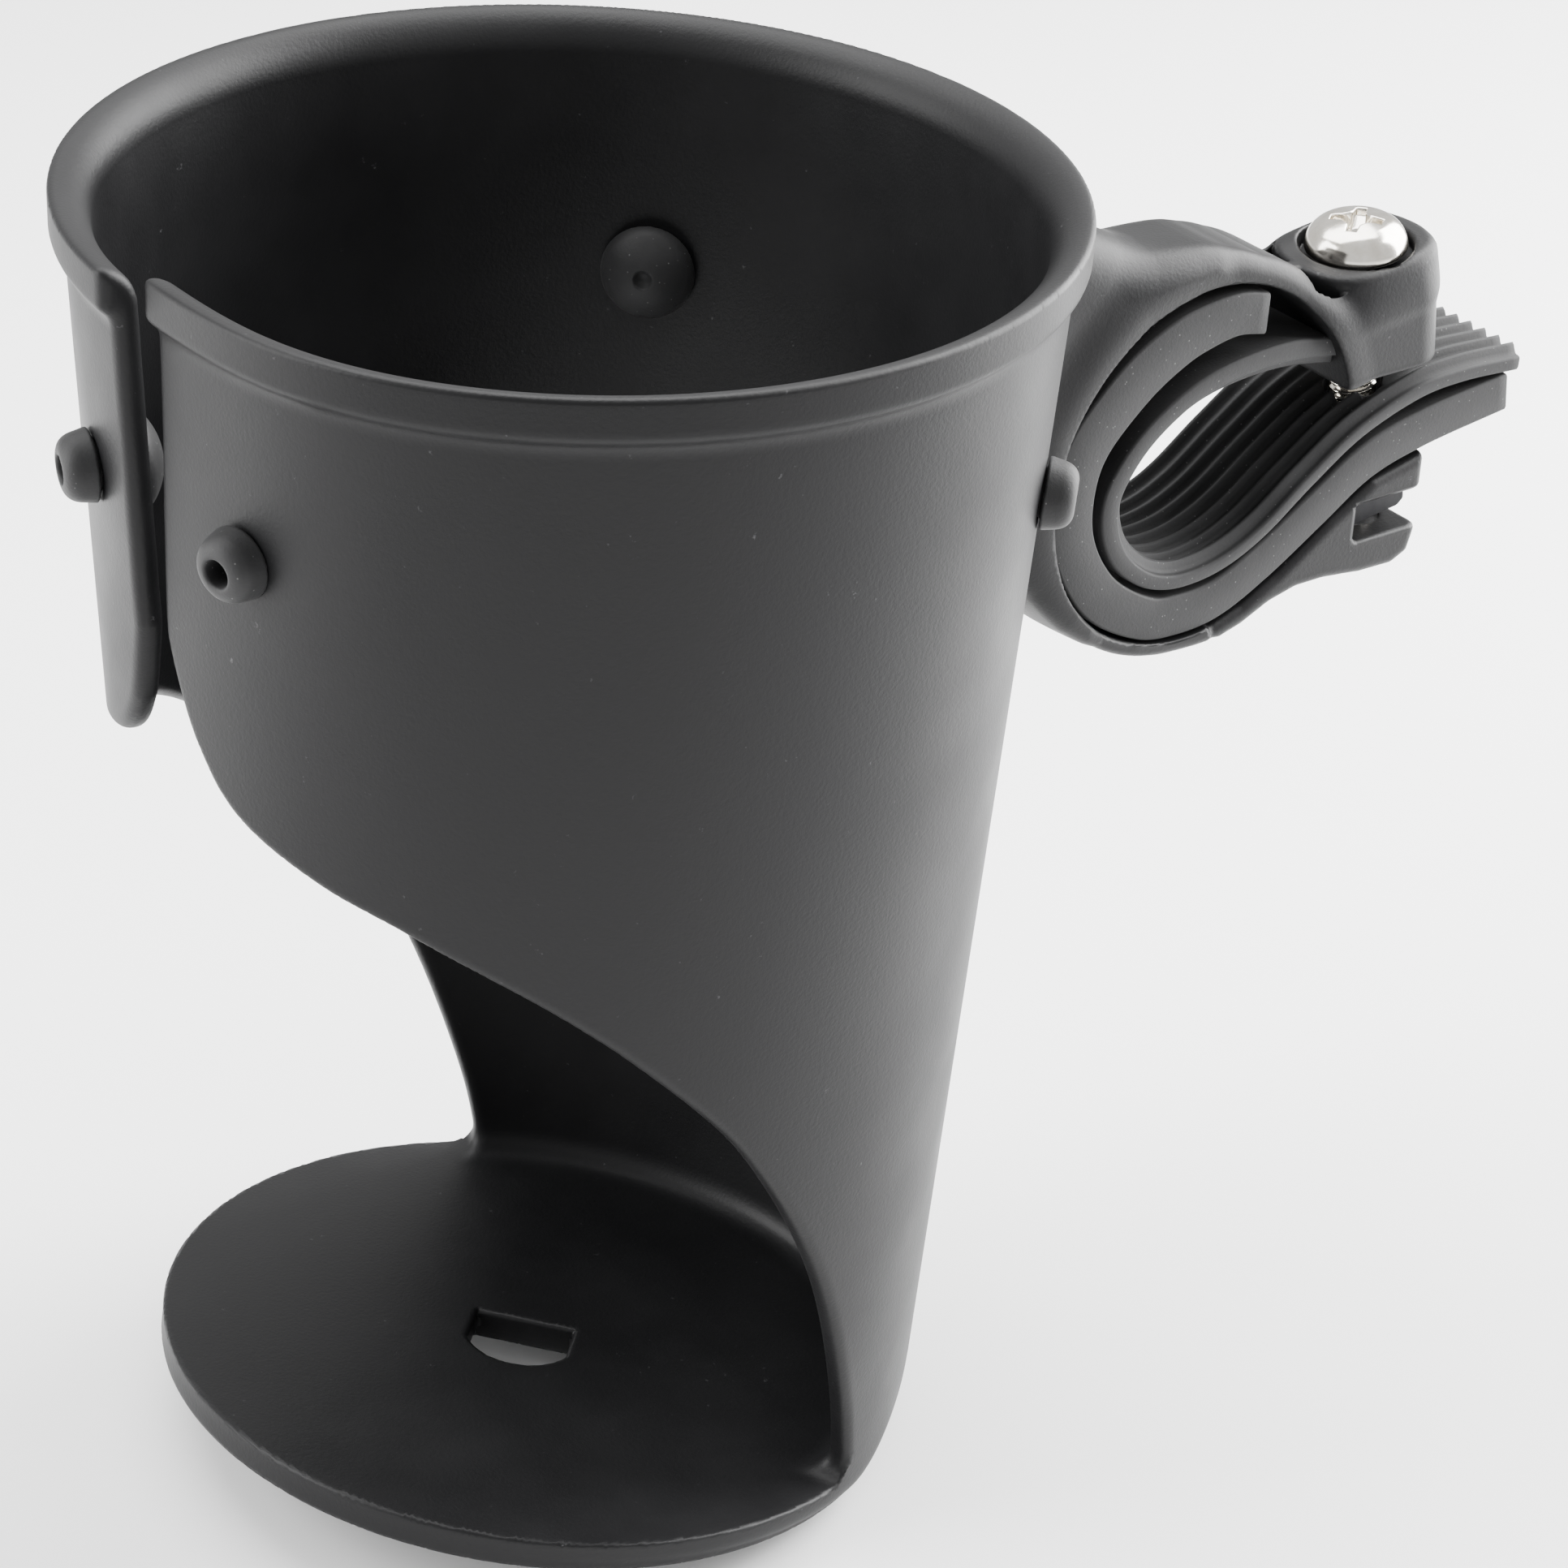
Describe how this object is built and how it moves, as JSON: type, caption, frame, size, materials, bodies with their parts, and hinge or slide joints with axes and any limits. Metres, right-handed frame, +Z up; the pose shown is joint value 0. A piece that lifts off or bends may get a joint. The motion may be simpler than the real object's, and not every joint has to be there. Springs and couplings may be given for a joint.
{
  "type": "clamp-on cup holder",
  "caption": "Tapered plastic cup holder with an open front, slit rim and rubber bumpers, moulded to a bar clamp with rubber shims, a cross-head screw and a square nut.",
  "frame": {"origin": "centre of the clamp's bore, halfway across the band", "axes": "+X away from the cup, towards the clamp's ears; +Y along the bar; +Z up, towards the cup's rim"},
  "size_m": [0.1611, 0.09, 0.1284],
  "materials": {
    "black_plastic": "satin",
    "bumper_rubber": "matte",
    "shim_rubber": "matte",
    "bright_nickel": "polished",
    "dark_steel": "satin"
  },
  "bodies": {
    "cup": {"cup_shell": "black_plastic", "clamp_bracket": "black_plastic", "bumper_front_left": "bumper_rubber", "bumper_front_right": "bumper_rubber", "bumper_rear_left": "bumper_rubber", "bumper_rear_right": "bumper_rubber", "outer_shim": "shim_rubber", "inner_shim": "shim_rubber"},
    "jaw": {"clamp_jaw": "black_plastic", "square_nut": "dark_steel"},
    "screw": {"clamp_screw": "bright_nickel"}
  },
  "joints": [
    {"name": "screw_turn", "type": "hinge", "parent": "cup", "child": "screw", "pos_m": [0.024, 0, 0.0159], "axis": [0.1219, 0, -0.9925], "range_deg": [-720, 1260]},
    {"name": "jaw_close", "type": "hinge", "parent": "cup", "child": "jaw", "pos_m": [-0.01202, 0, -0.01661], "axis": [0, -1, 0], "range_deg": [-2.4, 4.2], "deforming": ["outer_shim", "inner_shim"]}
  ],
  "couplings": [
    {"joint": "jaw_close", "follows": "screw_turn", "ratio": 0.0032063}
  ]
}
